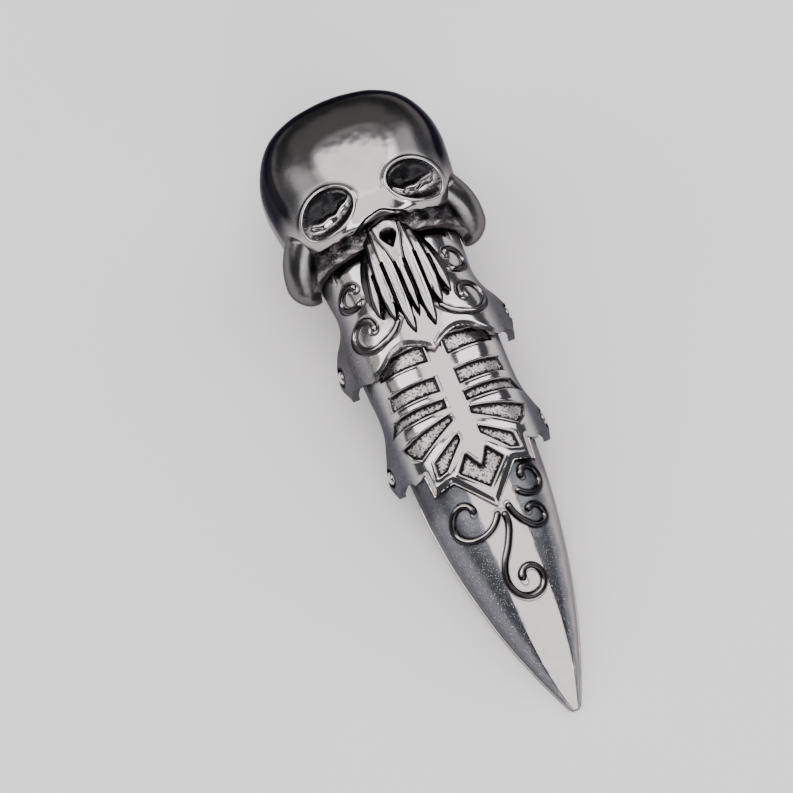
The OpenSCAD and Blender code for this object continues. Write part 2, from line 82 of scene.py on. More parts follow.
class Recipe:
    """Finish of one kind of surface, mixed from shader nodes."""

    def __init__(self, name):
        self.material = bpy.data.materials.new(name)
        self.material.use_nodes = True
        self.tree = self.material.node_tree
        self.tree.nodes.clear()

    def node(self, kind, settings=None, values=None, output=0):
        """Any node, with its settings, its inputs' values and the output that is used."""
        made = self.tree.nodes.new(kind)
        for name, value in (settings or {}).items():
            setattr(made, name, value)
        for name, value in (values or {}).items():
            if isinstance(value, Tone):
                self.tree.links.new(value.socket, made.inputs[name])
            else:
                made.inputs[name].default_value = value
        return Tone(self, made.outputs[output])

    def noise(self, size, detail, stretch=(1, 1, 1)):
        """Cloudy pattern whose blots are about size metres across."""
        place = self.node("ShaderNodeTexCoord", output=3)
        scaled = self.node("ShaderNodeMapping", {}, {0: place, 3: stretch})
        values = {"Vector": scaled, "Scale": 1 / size, "Detail": detail}
        return self.node("ShaderNodeTexNoise", {}, values)

    def ramp(self, value, low, high):
        """Nought up to low, one from high on, and a soft step between."""
        settings = {"interpolation_type": "SMOOTHSTEP"}
        values = {"Value": value, "From Min": low, "From Max": high}
        return self.node("ShaderNodeMapRange", settings, values)

    def blend(self, share, first, second):
        settings = {"data_type": "RGBA"}
        return self.node("ShaderNodeMix", settings, {0: share, 6: first, 7: second}, 2)

    def bump(self, height, strength, distance):
        values = {"Strength": strength, "Distance": distance, "Height": height}
        return self.node("ShaderNodeBump", {}, values)

    def finish(self, values):
        shader = self.node("ShaderNodeBsdfPrincipled", {}, values)
        surface = self.tree.nodes.new("ShaderNodeOutputMaterial")
        self.tree.links.new(shader.socket, surface.inputs[0])
        return self.material


MM = 0.001

bpy.ops.object.select_all(action="DESELECT")
bpy.ops.mesh.primitive_plane_add(size=4)
table = bpy.context.object
table.name = "table_top"
table_paint = Recipe("table_paint")
table_cloud = table_paint.noise(0.05, 4)
table.data.materials.append(table_paint.finish({
    "Base Color": table_paint.blend(
        table_cloud, (0.86, 0.845, 0.85, 1), (0.90, 0.885, 0.885, 1)),
    "Roughness": 0.55,
}))

room = bpy.data.worlds.new("dim_room")
room.use_nodes = True
room_glow = room.node_tree.nodes["Background"]
room_glow.inputs["Color"].default_value = (0.42, 0.45, 0.5, 1)
room_glow.inputs["Strength"].default_value = 0.22
bpy.context.scene.world = room


def softbox(name, lean_x, lean_y, far, width, depth, glow, colour):
    """Area light that faces the ring. Its lean from the zenith is in degrees."""
    light = bpy.data.lights.new(name, "AREA")
    light.shape = "RECTANGLE"
    light.size = width
    light.size_y = depth
    light.energy = glow * math.pi * width * depth
    light.color = colour
    holder = bpy.data.objects.new(name, light)
    bpy.context.collection.objects.link(holder)
    toward = Vector((math.tan(math.radians(lean_x)), math.tan(math.radians(lean_y)), 1))
    place = toward.normalized() * far
    holder.location = place
    holder.rotation_euler = place.to_track_quat("Z", "Y").to_euler()


softbox("softbox_rear", 2, 21, 1.0, 0.62, 0.40, 2.4, (1, 0.94, 0.945))
softbox("softbox_front", -1, -26, 1.0, 0.74, 1.5, 2.3, (1, 0.935, 0.94))
softbox("softbox_low", 8, -66, 1.0, 0.9, 0.3, 5, (1, 1, 1))
softbox("strip_left", -43, 15, 0.9, 0.62, 0.66, 3.7, (1, 0.99, 0.98))
softbox("strip_right", 45, 15, 0.9, 0.62, 0.66, 3.7, (1, 0.985, 0.99))
softbox("wall_rear", 0, 52, 1.2, 1.5, 0.55, 0.6, (1, 0.93, 0.87))
softbox("wall_left", -70, 45, 1.2, 0.5, 0.5, 0.7, (1, 0.95, 0.88))

# Viewing angle of the photograph: turned to the left, steep, and rolled.
view_turn = math.radians(-12.946)
view_rise = math.radians(69.224)
view_roll = math.radians(-9.415)
view_far = 0.388115
view_at = Vector((-0.006878, 0.004222, 0.010))
back = Vector((
    math.sin(view_turn) * math.cos(view_rise),
    -math.cos(view_turn) * math.cos(view_rise),
    math.sin(view_rise),
))
level = Vector((math.cos(view_turn), math.sin(view_turn), 0))
upward = back.cross(level)
across = math.cos(view_roll) * level + math.sin(view_roll) * upward
upward = math.cos(view_roll) * upward - math.sin(view_roll) * level
lens = bpy.data.cameras.new("view")
lens.sensor_width = 36
lens.lens = 118.04
lens.clip_start = 0.01
eye = bpy.data.objects.new("view", lens)
bpy.context.collection.objects.link(eye)
eye.matrix_world = Matrix.Translation(view_at + view_far * back) @ Matrix(
    (across, upward, back)).transposed().to_4x4()
bpy.context.scene.camera = eye


# Skull cap with its jaw, teeth, cheekbones and finger band, cast in silver in one pour, polished
# where it is high and blackened where it is deep, with painted shade and painted highlights in its
# colour. Sizes here and below are in millimetres, and places along the finger are counted from the
# hinge between the plates.
MIDDLE_Y = 9.79
# Columns of a plate's table, after the place along the finger
HALF_W, CREST, BASE, FLARE = 1, 2, 3, 4
# Fullness of the curves: two is round, more is squarer
PLATE_POWER = 2.3
SKULL_POWER = 2.8
PLATE_THICK = 1.1
SKULL_THICK = 1.3

silver_mix = Recipe("antique_silver")
# The soot share blackens the silver: patina in the real hollows and grooves, and painted shade
# where a piece is darkened for shade.
soot = silver_mix.node("ShaderNodeAttribute", {"attribute_name": "soot"}, {}, 2)
grain = silver_mix.node("ShaderNodeAttribute", {"attribute_name": "grain"}, {}, 2)
satin = silver_mix.node("ShaderNodeAttribute", {"attribute_name": "satin"}, {}, 2)
pits = silver_mix.ramp(silver_mix.noise(0.3 * MM, 3) - soot * 0.18, 0.40, 0.46)
cloud = silver_mix.noise(3 * MM, 3)
speck = silver_mix.ramp(silver_mix.noise(0.2 * MM, 1), 0.64, 0.70)
lines = silver_mix.noise(0.25 * MM, 2, (1, 0.06, 1))
wave = silver_mix.noise(2.4 * MM, 1)
black = (soot + grain * (1 - pits) * 0.75).at_most(0.97).at_least(0)
silver_tint = silver_mix.blend(cloud, (0.52, 0.49, 0.488, 1), (0.46, 0.437, 0.437, 1))
# Satin dulls the silver and paints it a dark bluish grey, a painted dark reflection; its brighter
# specks are painted glints.
silver_satin_shade = silver_mix.blend(satin, silver_tint, (0.14, 0.15, 0.17, 1))
silver_lit = silver_mix.blend(satin * speck, silver_satin_shade, (0.62, 0.62, 0.65, 1))
silver = silver_mix.finish({
    "Base Color": silver_mix.blend(black, silver_lit, (0.010, 0.010, 0.012, 1)),
    "Metallic": 1,
    "Specular Tint": (0.38, 0.38, 0.4, 1),
    "Roughness": 0.08 + cloud * 0.10 + satin * 0.22 + grain * 0.22 + soot * 0.15
    - speck * satin * 0.2,
    "Normal": silver_mix.bump(
        grain * pits * 0.4 + satin * speck * 0.3 + lines * 0.04 + wave * 0.7, 0.8, 0.12 * MM),
})


def track(rows, column, key):
    """Smooth value of a table's column at each place of key."""
    table = np.array(rows, float)
    key = np.clip(key, table[0, 0], table[-1, 0])
    i = np.clip(np.searchsorted(table[:, 0], key, side="right") - 1, 0, len(table) - 2)
    a = table[np.maximum(i - 1, 0)]
    b = table[i]
    c = table[i + 1]
    d = table[np.minimum(i + 2, len(table) - 1)]
    step = c[..., 0] - b[..., 0]
    t = (key - b[..., 0]) / step
    slope_b = (c[..., column] - a[..., column]) / (c[..., 0] - a[..., 0]) * step
    slope_c = (d[..., column] - b[..., column]) / (d[..., 0] - b[..., 0]) * step
    return ((2 * t**3 - 3 * t**2 + 1) * b[..., column] + (t**3 - 2 * t**2 + t) * slope_b
            + (3 * t**2 - 2 * t**3) * c[..., column] + (t**3 - t**2) * slope_c)


def soft(low, high, value):
    """Soft step from nought at low to one at high."""
    t = np.clip((value - low) / (high - low), 0, 1)
    return t * t * (3 - 2 * t)


def ridge(value, middle, width):
    """Round ridge, one at its middle."""
    return np.exp(-((value - middle) / width)**2)


def body(name, around, along, place, relief=None):
    """Closed body. A grid is rolled up to where place puts it, its surface is raised
    or sunk by the relief, its seam is merged and its open ends are filled."""
    bpy.ops.object.select_all(action="DESELECT")
    bpy.ops.mesh.primitive_grid_add(x_subdivisions=around, y_subdivisions=along, size=1)
    piece = bpy.context.object
    piece.name = name
    piece.data.name = name
    flat = np.empty(len(piece.data.vertices) * 3)
    piece.data.vertices.foreach_get("co", flat)
    flat = flat.reshape(-1, 3) + 0.5
    columns = int(round(len(flat) / len(np.unique(flat[:, 1].round(5)))))
    u = flat[:, 0].reshape(-1, columns)
    v = flat[:, 1].reshape(-1, columns)
    points = np.stack(place(u, v), axis=-1)
    if relief:
        facing = np.cross(np.gradient(points, axis=1), np.gradient(points, axis=0))
        size = np.linalg.norm(facing, axis=-1, keepdims=True)
        facing = facing / np.maximum(size, 1e-9)
        outward = points - points.mean(axis=(0, 1))
        facing *= np.sign((facing * outward).sum())
        raised = relief(points[..., 0], points[..., 1], points[..., 2])
        points = points + facing * raised[..., None]
    points[..., 1] += MIDDLE_Y
    piece.data.vertices.foreach_set("co", (points * MM).reshape(-1))
    bpy.ops.object.mode_set(mode="EDIT")
    bpy.ops.mesh.select_all(action="SELECT")
    bpy.ops.mesh.remove_doubles(threshold=2e-6)
    bpy.ops.mesh.select_all(action="DESELECT")
    bpy.ops.mesh.select_non_manifold()
    bpy.ops.mesh.fill_holes(sides=0)
    bpy.ops.mesh.select_all(action="SELECT")
    bpy.ops.mesh.normals_make_consistent(inside=False)
    bpy.ops.object.mode_set(mode="OBJECT")
    return piece


def carve(piece, tool, how="DIFFERENCE"):
    """Cut with another closed body, keep what lies in it, or add it."""
    step = piece.modifiers.new("carve", "BOOLEAN")
    step.operation = how
    step.solver = "MANIFOLD"
    step.object = tool
    bpy.ops.object.select_all(action="DESELECT")
    bpy.context.view_layer.objects.active = piece
    piece.select_set(True)
    bpy.ops.object.modifier_apply(modifier=step.name)
    bpy.data.objects.remove(tool)


def copied(piece):
    """Copy with a mesh of its own."""
    twin = piece.copy()
    twin.data = piece.data.copy()
    bpy.context.collection.objects.link(twin)
    return twin


def round_bar(x_from, x_to, y, z, radius):
    """Round bar across the finger."""
    bpy.ops.object.select_all(action="DESELECT")
    bpy.ops.mesh.primitive_cylinder_add(
        vertices=96, radius=radius * MM, depth=(x_to - x_from) * MM,
        location=((x_from + x_to) / 2 * MM, (y + MIDDLE_Y) * MM, z * MM),
        rotation=(0, math.pi / 2, 0))
    bar = bpy.context.object
    bpy.ops.object.transform_apply()
    return bar


def full_bar(y, z, radius):
    """Round bar across the whole ring."""
    return round_bar(-30, 30, y, z, radius)


def drill(piece, holes):
    """Bore from both sides: radius, nearest and furthest place across, place and height."""
    for side in (-1, 1):
        for radius, near_x, far_x, y, z in holes:
            x_from, x_to = sorted((side * near_x, side * far_x))
            carve(piece, round_bar(x_from, x_to, y, z, radius))


def prism(corners, axis):
    """Slab from corners seen from the side (axis X) or from above (axis Z)."""
    bpy.ops.object.select_all(action="DESELECT")
    bpy.ops.mesh.primitive_circle_add(vertices=len(corners), fill_type="NGON")
    slab = bpy.context.object
    low_x, low_z, thick = -30 * MM, -5 * MM, 60 * MM
    for vertex, (p, q) in zip(slab.data.vertices, corners):
        if axis == "X":
            vertex.co = (low_x, (p + MIDDLE_Y) * MM, q * MM)
        else:
            vertex.co = (p * MM, (q + MIDDLE_Y) * MM, low_z)
    way = (thick, 0, 0) if axis == "X" else (0, 0, thick)
    bpy.ops.object.mode_set(mode="EDIT")
    bpy.ops.mesh.select_all(action="SELECT")
    bpy.ops.mesh.extrude_region_move(TRANSFORM_OT_translate={"value": way})
    bpy.ops.mesh.select_all(action="SELECT")
    bpy.ops.mesh.normals_make_consistent(inside=False)
    bpy.ops.object.mode_set(mode="OBJECT")
    return slab


def places(piece):
    """Places of a piece's vertices in millimetres, along the finger from the middle hinge."""
    flat = np.empty(len(piece.data.vertices) * 3)
    piece.data.vertices.foreach_get("co", flat)
    x, y, z = flat.reshape(-1, 3).T / MM
    return x, y - MIDDLE_Y, z


def facings(piece):
    """Directions in which a piece's vertices face."""
    flat = np.empty(len(piece.data.vertices) * 3)
    piece.data.vertices.foreach_get("normal", flat)
    return flat.reshape(-1, 3)


def tint(piece, **shares):
    """Shares of soot and painted shade, grain, and satin with painted dark reflection on each
    vertex.
    """
    for name in ("soot", "grain", "satin"):
        if name in piece.data.attributes:
            piece.data.attributes.remove(piece.data.attributes[name])
        layer = piece.data.attributes.new(name, "FLOAT", "POINT")
        values = np.zeros(len(piece.data.vertices)) + shares.get(name, 0)
        layer.data.foreach_set("value", np.clip(values, 0, 1))
    return piece


def joined(name, parts, metal=silver):
    """One piece from several parts, its sharp edges kept."""
    bpy.ops.object.select_all(action="DESELECT")
    for part in parts:
        part.select_set(True)
    bpy.context.view_layer.objects.active = parts[0]
    if len(parts) > 1:
        bpy.ops.object.join()
    piece = bpy.context.object
    piece.name = name
    piece.data.name = name
    bpy.ops.object.shade_smooth_by_angle(angle=math.radians(38))
    piece.data.materials.clear()
    piece.data.materials.append(metal)
    return piece


def mirrored(piece):
    """Copy for the other side of the finger."""
    twin = copied(piece)
    bpy.ops.object.select_all(action="DESELECT")
    bpy.context.view_layer.objects.active = twin
    twin.select_set(True)
    twin.scale = (-1, 1, 1)
    bpy.ops.object.transform_apply()
    bpy.ops.object.mode_set(mode="EDIT")
    bpy.ops.mesh.select_all(action="SELECT")
    bpy.ops.mesh.normals_make_consistent(inside=False)
    bpy.ops.object.mode_set(mode="OBJECT")
    return twin


def section(u, width, base, crest, foot, flare=0):
    """Section of a plate: up one side, over the crest, down the other side and back."""
    # Shares of the way round: each side wall, the arch, where it ends, where the foot begins
    wall, arch, arch_end, back_from = 0.05, 0.86, 0.91, 0.96
    flare_rise = 4.5
    angle = math.pi * np.clip((u - wall) / arch, 0, 1)
    rise = (crest - base) * np.sin(angle)**(2 / PLATE_POWER)
    spread = flare * np.maximum(0, 1 - rise / flare_rise)**2
    side = np.sign(np.cos(angle))
    x = side * (width * np.abs(np.cos(angle))**(2 / PLATE_POWER) + spread)
    z = base + rise
    up = u / wall
    z = np.where(u < wall, foot + (base - foot) * up, z)
    down = (u - arch_end) / wall
    z = np.where(u > arch_end, base + (foot - base) * down, z)
    back_share = (u - back_from) / (1 - back_from)
    x = np.where(u > back_from, (width + flare) * (2 * back_share - 1), x)
    z = np.where(u > back_from, foot, z)
    return x, z


def plate_body(name, rows, sink, start, end, around, along, foot, relief=None):
    """Body under a plate's surface, sunk evenly below it."""
    def place(u, v):
        y = start + (end - start) * v
        x, z = section(u, track(rows, HALF_W, y) - sink, track(rows, BASE, y),
                       track(rows, CREST, y) - sink, foot, track(rows, FLARE, y))
        return x, y, z
    return body(name, around, along, place, relief)


# Middle of the skull along the finger, and the heights of its crown and its floor
skull_y, crown_z, dome_floor_z = 24.5, 27.3, 12
# Columns of the skull's outline: bearing, radius in plan and height of the rim
OUT_R, RIM_Z = 1, 2
outline_rows = [
    [-90, 9.6, 23.4], [-66, 10.2, 22.6], [-48, 12.2, 20], [-26, 14.1, 13.9],
    [0, 14.4, 12], [26, 15.8, 13.2], [45, 16, 16.2], [62, 14.8, 19.4],
    [76, 13.9, 20.8], [90, 13.6, 21.3],
]
# Middle of an eye across and along, its half width and half length, and its slant
eye_x, eye_y, eye_a, eye_b = 6.8, 19.5, 4.3 * 0.95, 3.1
eye_turn = math.radians(7)


def skull_surface(bearing, drop, sink):
    """Place on the skull: bearing in plan and drop from the crown, sunk below its skin."""
    key = np.abs((bearing + 270) % 360 - 180) - 90
    rim = track(outline_rows, RIM_Z, key)
    reach = (track(outline_rows, OUT_R, key) - sink) * np.sin(drop)**(2 / SKULL_POWER)
    z = rim + (crown_z - sink - rim) * np.maximum(np.cos(drop), 0)**(2 / SKULL_POWER)
    turn = np.radians(bearing)
    return reach * np.cos(turn), skull_y + reach * np.sin(turn), z


def skull_height(x, y):
    """Height of the skull's surface over a place in plan."""
    key = np.degrees(np.arctan2(y - skull_y, np.abs(x)))
    reach = np.hypot(x, y - skull_y) / track(outline_rows, OUT_R, key)
    rim = track(outline_rows, RIM_Z, key)
    z = rim + (crown_z - rim) * (1 - np.minimum(reach, 0.995)**SKULL_POWER)**(1 / SKULL_POWER)
    return np.where(reach < 1, z, 18)


def eye_share(x, y):
    """How far a place is from the middle of its eye, one at the rim."""
    across_eye = (np.abs(x) - eye_x) * math.cos(eye_turn) - (y - eye_y) * math.sin(eye_turn)
    along_eye = (np.abs(x) - eye_x) * math.sin(eye_turn) + (y - eye_y) * math.cos(eye_turn)
    return np.hypot(across_eye / eye_a, along_eye / eye_b)


def eye_fold(x, y):
    """Low fold that runs across the bottom of each eye."""
    over = x - np.sign(x) * eye_x
    line = y - eye_y + 0.95 - 0.2 * over - 0.07 * over**2 + 0.12 * np.sin(2.6 * over)
    return ridge(line, 0, 0.7) * soft(1.0, 0.72, eye_share(x, y))


def brow_shadow_notch(x, y):
    """Hollow between the brow and the nose, highest in the middle; its black is a painted shadow
    under the brow.
    """
    edge = 16.95 - 0.38 * np.hypot(x, 0.9) + 0.06 * np.sin(2.2 * x)
    return soft(0.15, -0.25, y - edge) * soft(-1.8, -1.1, y - edge)


def skull_relief(x, y, z):
    near = eye_share(x, y)
    fold = eye_fold(x, y)
    bowl = -2.1 * np.sqrt(np.maximum(0, 1 - (near / 0.97)**2)) + 0.75 * fold
    lumps = np.sin(1.6 * x + 0.8 * y) * np.sin(2.1 * y - 0.9 * x)
    bowl = bowl + 0.12 * lumps * soft(0.95, 0.7, near) * (1 - 0.8 * fold)
    outer_rim = 0.1 * ridge(near, 1.06, 0.09)
    moat = -0.1 * ridge(near, 1.2, 0.06) * soft(-1, 1.5, y - eye_y)
    top = soft(12.5, 14, z)
    return (bowl + outer_rim + moat - 0.55 * brow_shadow_notch(x, y)) * top


def square_to(way):
    """Directions across a wire: one level, one upward."""
    way = way / np.linalg.norm(way, axis=-1, keepdims=True)
    edge = np.cross(way, (0, 0, 1))
    edge /= np.linalg.norm(edge, axis=-1, keepdims=True)
    return edge, np.cross(edge, way)


def eye_loop(side, share, radius, lift):
    """Round rim wire that follows the skull's surface round an eye."""
    def spot(turn):
        u = share * eye_a * np.cos(turn)
        v = share * eye_b * np.sin(turn)
        x = eye_x + u * math.cos(eye_turn) + v * math.sin(eye_turn)
        y = eye_y + v * math.cos(eye_turn) - u * math.sin(eye_turn)
        return np.stack([side * x, y, skull_height(x, y) + lift], axis=-1)

    def place(u, v):
        turn = 2 * math.pi * v
        edge, over = square_to(spot(turn + 0.01) - spot(turn - 0.01))
        angle = (2 * math.pi * u)[..., None]
        ring = spot(turn) + radius * (np.cos(angle) * edge + np.sin(angle) * over)
        return ring[..., 0], ring[..., 1], ring[..., 2]
    return body("eye_rim", 14, 150, place)


def dome_place(sink):
    """Dome sunk below the skull's skin and closed by a floor."""
    skin_share = 0.94

    def place(u, v):
        bearing = 90 + 360 * u
        drop = np.radians(90) * np.clip(v / skin_share, 0, 1)
        x, y, z = skull_surface(bearing, drop, sink)
        close = np.clip((v - skin_share) / (1 - skin_share), 0, 1)
        x = x * (1 - close)
        y = skull_y + (y - skull_y) * (1 - close)
        z = z * (1 - close) + dome_floor_z * close
        return x, y, z
    return place


def hollow_place(u, v):
    """Space inside the skull, open below."""
    bearing = 90 + 360 * u
    drop = np.radians(90) * np.clip(v / 0.7, 0, 1)
    x, y, z = skull_surface(bearing, drop, SKULL_THICK)
    down = np.clip((v - 0.7) / 0.2, 0, 1)
    z = z * (1 - down) - 2 * down
    close = np.clip((v - 0.9) / 0.1, 0, 1)
    return x * (1 - close), skull_y + (y - skull_y) * (1 - close), z


# Half width and height of the space under the skull, and how far it reaches back
tunnel_w, tunnel_z, tunnel_from, tunnel_long = 11.65, 23.1, -9, 29.5


def tunnel():
    """Space that the scroll plate slides in, under the skull."""
    def place(u, v):
        y = tunnel_from + tunnel_long * v
        x, z = section(u, tunnel_w + 0 * y, strip_base, tunnel_z, -1)
        return x, y, z
    return body("tunnel", 120, 2, place)


strip_base = 11.5
cap = body("cap", 330, 120, dome_place(0), skull_relief)
hollow = body("hollow", 64, 30, hollow_place)
for side in (-1, 1):
    def eye_back(u, v, side=side):
        turn = 2 * math.pi * u
        tilt = math.pi * v
        return (side * eye_x + 6 * np.sin(tilt) * np.cos(turn),
                eye_y + 4.5 * np.sin(tilt) * np.sin(turn),
                24.4 + 3.2 * np.cos(tilt))
    carve(hollow, body("eye_back", 32, 16, eye_back))
carve(cap, copied(hollow))
carve(cap, tunnel())
x, y, z = places(cap)
near = eye_share(x, y)
turn = np.degrees(np.arctan2(y - skull_y, np.abs(x)))
rim = track(outline_rows, RIM_Z, turn)
rise = (z - rim) / (crown_z - rim)
# Painted shade: a dark band inside the bright rim and a duller band above it, where the dome's
# reflection runs dark
behind_eyes = soft(-30, 0, turn)
shade_band = soft(0.2, 0.32, rise) * soft(0.76, 0.58, rise) * behind_eyes
dull_shade_band = soft(0.58, 0.7, rise) * soft(0.982, 0.955, rise) * behind_eyes
# The eye bowls are blackened as patina, but the fold across each bowl is left bright as a painted
# highlight; the brow's hollow is painted black as a shadow.
bowl_share = soft(0.95, 0.86, near)
fold = eye_fold(x, y)
rim_lines = (0.8 * ridge(near, 0.98, 0.05)
             + 0.7 * ridge(near, 1.19, 0.05) * soft(-1, 1.5, y - eye_y))
temple = soft(8.5, 11, np.abs(x)) * ridge(y, 22.5, 4.5) * soft(0.5, 0.7, rise)
tint(cap,
     soot=0.08 + 0.86 * shade_band + 0.74 * dull_shade_band
     + 0.82 * bowl_share * (1 - 1.15 * fold) + rim_lines + 0.95 * brow_shadow_notch(x, y),
     grain=0.5 * bowl_share * (1 - fold), satin=0.7 * temple)

eye_rims = []
for side in (-1, 1):
    eye_rims.append(tint(eye_loop(side, 1.05, 0.23, 0.04), soot=0))

# Columns of the jaw: place along the finger, half width and height of its crest
jaw_rows = [
    [2.2, 5.4, 24.1], [4, 6.3, 24.5], [7, 6.5, 25.1], [10, 5.9, 25.5],
    [13, 4.6, 25.7], [16, 3.2, 25.9], [19, 2.4, 26],
]
# Columns of the teeth: root across, tip across, root along, tip along, half width
tooth_rows = [
    [0, 0, 9.5, 0.6, 0.7], [1.75, 1.6, 16, -1.8, 1.35],
    [3.1, 3.6, 13, 0.9, 1.15], [4.2, 5.5, 10.5, 2.2, 0.85],
]


def tooth_z(x, y):
    """Height of the middle of a tooth."""
    return (track(jaw_rows, 2, np.maximum(y, 2.2)) - 0.45
            - 0.175 * np.maximum(0, 2.2 - y) - 0.055 * x**2)


def higher(a, b, fillet):
    """The higher of two surfaces, with a fillet between them."""
    return (a + b + np.sqrt((a - b)**2 + fillet**2)) / 2


def line_distance(x, y, ax, ay, bx, by):
    """Distance in plan from a straight line between two places."""
    dx, dy = bx - ax, by - ay
    t = np.clip(((x - ax) * dx + (y - ay) * dy) / (dx * dx + dy * dy), 0, 1)
    return np.hypot(x - ax - t * dx, y - ay - t * dy)


def path_distance(x, y, path):
    """Distance in plan from a path."""
    near = np.full(np.shape(x), 99.0)
    for a, b in zip(path[:-1], path[1:]):
        near = np.minimum(near, line_distance(x, y, a[0], a[1], b[0], b[1]))
    return near


def nearest_path(x, y, paths):
    """Distance in plan from the nearest of several paths."""
    return np.min([path_distance(x, y, path) for path in paths], axis=0)


# Slots between the teeth, each from its root to its tip: place across and along
tooth_slots = [[(0.75, 8.2), (0.7, 0.2)], [(2.6, 8.8), (2.6, 0.2)], [(4.4, 7.8), (4.6, 1.4)]]
# Seam beside the bridge of the nose, from the brow to the slots
bridge_seam = [(2.1, 14.8), (1.8, 12.6), (1.15, 10.5), (0.75, 8.4)]


def slot_distance(x, y):
    return nearest_path(np.abs(x), y, tooth_slots)


def seam_distance(x, y):
    return path_distance(np.abs(x), y, bridge_seam)


def nose_share(x, y):
    """How far a place is from the middle of the nose, one at the edge of its opening."""
    half = np.maximum(1.15 + 0.5 * (y - 12.2), 0.2)
    return np.hypot(x / half, (y - 12.2) / 1.65)


def jaw_top(x, y):
    """Height of the jaw and its teeth. Behind the brow it runs under the skull's surface."""
    full = np.maximum(0, 1 - (x / track(jaw_rows, 1, y))**2)
    height = 21 + (track(jaw_rows, 2, y) - 21) * np.sqrt(full) - 4 * soft(3.2, 1.4, y)
    for root_x, tip_x, root_y, tip_y, half_w in tooth_rows:
        share = (y - tip_y) / (root_y - tip_y)
        inner = np.clip(share, 0, 1)
        half = half_w * np.sqrt(np.clip(0.03 + 3.2 * inner, 0, 1)) * (1 - 0.45 * inner**3)
        for side in ((1,) if root_x == 0 else (-1, 1)):
            middle = side * (tip_x + (root_x - tip_x) * share)
            off = np.abs(x - middle) / half
            tooth = tooth_z(middle, y) - 0.9 * inner**4 + 0.95 * np.sqrt(
                np.maximum(0, 1 - off**2)) - 3 * np.maximum(0, off - 1)
            tooth = tooth - 40 * np.maximum(0, -share) - 30 * np.maximum(0, share - 0.97)
            height = higher(height, tooth, 0.25)
    height = height - 0.06 - 0.9 * brow_shadow_notch(x, y) - 0.22 * ridge(seam_distance(x, y), 0, 0.2)
    height = np.minimum(height, skull_height(x, y) - 0.3 + 9 * soft(15.8, 14.8, y))
    return (height - 0.75 * soft(0.3, 0.17, slot_distance(x, y))
            - 1.7 * soft(1.05, 0.1, nose_share(x, y)))


def jaw_place(u, v):
    """Block under the jaw's surface: over its top, then back along its underside."""
    top_share, half, under_z = 0.92, 7, 20.5
    y = -2.2 + 21.2 * v
    x = np.where(u < top_share, 2 * half * u / top_share - half,
                 half - 2 * half * (u - top_share) / (1 - top_share))
    return x, y, np.where((u > 0) & (u < top_share), jaw_top(x, y), under_z)


jaw = body("jaw", 200, 170, jaw_place)
carve(jaw, tunnel())
carve(jaw, copied(hollow))
x, y, z = places(jaw)
up = facings(jaw)[:, 2]
# The slots, the nose opening and the seam beside the bridge of the nose are blackened as patina;
# painted shade darkens the band under the brow, the hollow below the nose, the jaw's flanks and
# its steep faces, and the jaw is darker toward the bottom.
flank_shade = (ridge(np.abs(x), 4.6, 0.9) * ridge(y, 10.4, 2.2)
         + 0.45 * ridge(x, 0, 0.5) * ridge(y, 9.8, 1))
tint(jaw, soot=0.97 * soft(0.32, 0.2, slot_distance(x, y)) * (z > 22.5)
     + soft(1.05, 0.85, nose_share(x, y)) + 0.8 * soft(23.6, 23.1, z + 0.05 * x**2)
     + 0.85 * soft(0.97, 0.78, up) + 0.95 * brow_shadow_notch(x, y) + 0.7 * flank_shade
     + 0.7 * ridge(seam_distance(x, y), 0, 0.15))


def cheekbone_place(u, v):
    """Blunt rod that runs down from the skull and bulges outward."""
    start = np.array([9.6, 21.4, 20.4])
    end = np.array([13.1, 13, 10.4])
    bulge = (1.5, 0, 0.6)
    edge, over = square_to(start - end)
    blunt = np.clip(v / 0.22, 0, 1)
    radius = 2.9 * np.sqrt(blunt * (2 - blunt))
    radius = radius * (1 - 0.1 * v) * np.sqrt(np.clip((1 - v) / 0.15, 0, 1)) + 0.01
    angle = 2 * math.pi * u
    return [end[k] + (start[k] - end[k]) * v + bulge[k] * np.sin(math.pi * v)
            + radius * (np.cos(angle) * edge[k] + np.sin(angle) * over[k]) for k in range(3)]


cheekbone = body("cheekbone", 56, 60, cheekbone_place)
carve(cheekbone, tunnel())
carve(cheekbone, copied(hollow))
# Painted shade: the cheekbones are darkened all over, as a dark reflection would show them.
tint(cheekbone, soot=0.68, satin=0.15)
other_cheekbone = mirrored(cheekbone)

cheek_w = tunnel_w + 1.2
hinge0_y, hinge0_z = 16, 12.5
# Radii at the hinges: ears of the cheek strip, ears of the plates, bores and rivet seats
cheek_ear_r, ear_r, bore_r, seat_r = 3.1, 2.9, 0.65, 1.4


def strip_place(u, v):
    """Strip between the cheekbones, round the tunnel."""
    y = 12.7 + 8.3 * v
    x, z = section(u, cheek_w + 0 * y, strip_base, tunnel_z + 0.9, -1)
    return x, y, z


def strip_relief(x, y, z):
    """Uneven surface of the hollows under the eyes."""
    side = np.abs(x)
    lumps = np.sin(1.9 * side + 0.7 * y) + np.sin(2.6 * y - 1.4 * side)
    return 0.16 * lumps * soft(18, 20, z)


strip = body("cheek_strip", 200, 44, strip_place, strip_relief)
